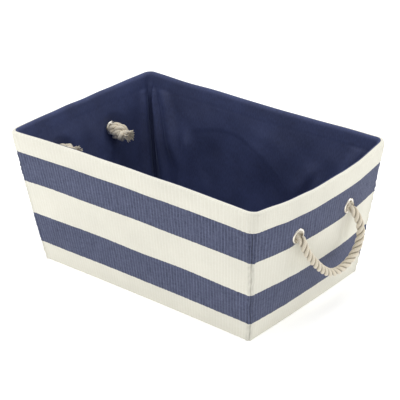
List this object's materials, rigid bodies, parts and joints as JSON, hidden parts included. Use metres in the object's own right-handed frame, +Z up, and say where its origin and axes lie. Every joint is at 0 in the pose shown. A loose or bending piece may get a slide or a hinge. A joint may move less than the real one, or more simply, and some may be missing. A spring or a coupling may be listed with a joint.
{
  "type": "fabric storage bin",
  "caption": "Open rectangular cloth storage bin with sloping striped walls, a lined inside and knotted rope handles that swing at the ends.",
  "frame": {"origin": "middle of the bin's footprint, on the surface it stands on", "axes": "+X along the long walls to the right end, +Y from the front wall to the back wall, +Z up"},
  "size_m": [0.4178, 0.2588, 0.178],
  "materials": {
    "striped_cloth": "woven cloth, navy and cream stripes",
    "cream_binding": "woven cream cloth",
    "navy_lining": "plain navy woven lining",
    "steel_wire": "drawn steel wire",
    "base_board": "grey-brown pressed board",
    "nickel_eyelet": "nickel-plated",
    "cotton_rope": "natural twisted cotton"
  },
  "bodies": {
    "bin": {"front_panel": "striped_cloth", "back_panel": "striped_cloth", "left_end_panel": "striped_cloth", "right_end_panel": "striped_cloth", "rim_binding": "cream_binding", "base_cover": "navy_lining", "lining_front": "navy_lining", "lining_back": "navy_lining", "lining_left": "navy_lining", "lining_right": "navy_lining", "lining_floor": "navy_lining", "rim_wire": "steel_wire", "base_wire": "steel_wire", "corner_wire_front_left": "steel_wire", "corner_wire_front_right": "steel_wire", "corner_wire_back_left": "steel_wire", "corner_wire_back_right": "steel_wire", "base_board": "base_board", "left_eyelet_front": "nickel_eyelet", "left_eyelet_back": "nickel_eyelet", "right_eyelet_front": "nickel_eyelet", "right_eyelet_back": "nickel_eyelet", "left_washer_front": "nickel_eyelet", "left_washer_back": "nickel_eyelet", "right_washer_front": "nickel_eyelet", "right_washer_back": "nickel_eyelet", "left_knot_front": "cotton_rope", "left_knot_back": "cotton_rope", "right_knot_front": "cotton_rope", "right_knot_back": "cotton_rope"},
    "left_handle": {"left_handle_rope": "cotton_rope"},
    "right_handle": {"right_handle_rope": "cotton_rope"}
  },
  "joints": [
    {"name": "left_handle_swing", "type": "hinge", "parent": "bin", "child": "left_handle", "pos_m": [-0.19754, 0, 0.11703], "axis": [0, 1, 0], "range_deg": [-13, 150]},
    {"name": "right_handle_swing", "type": "hinge", "parent": "bin", "child": "right_handle", "pos_m": [0.19754, 0, 0.11703], "axis": [0, -1, 0], "range_deg": [-13, 150]}
  ]
}
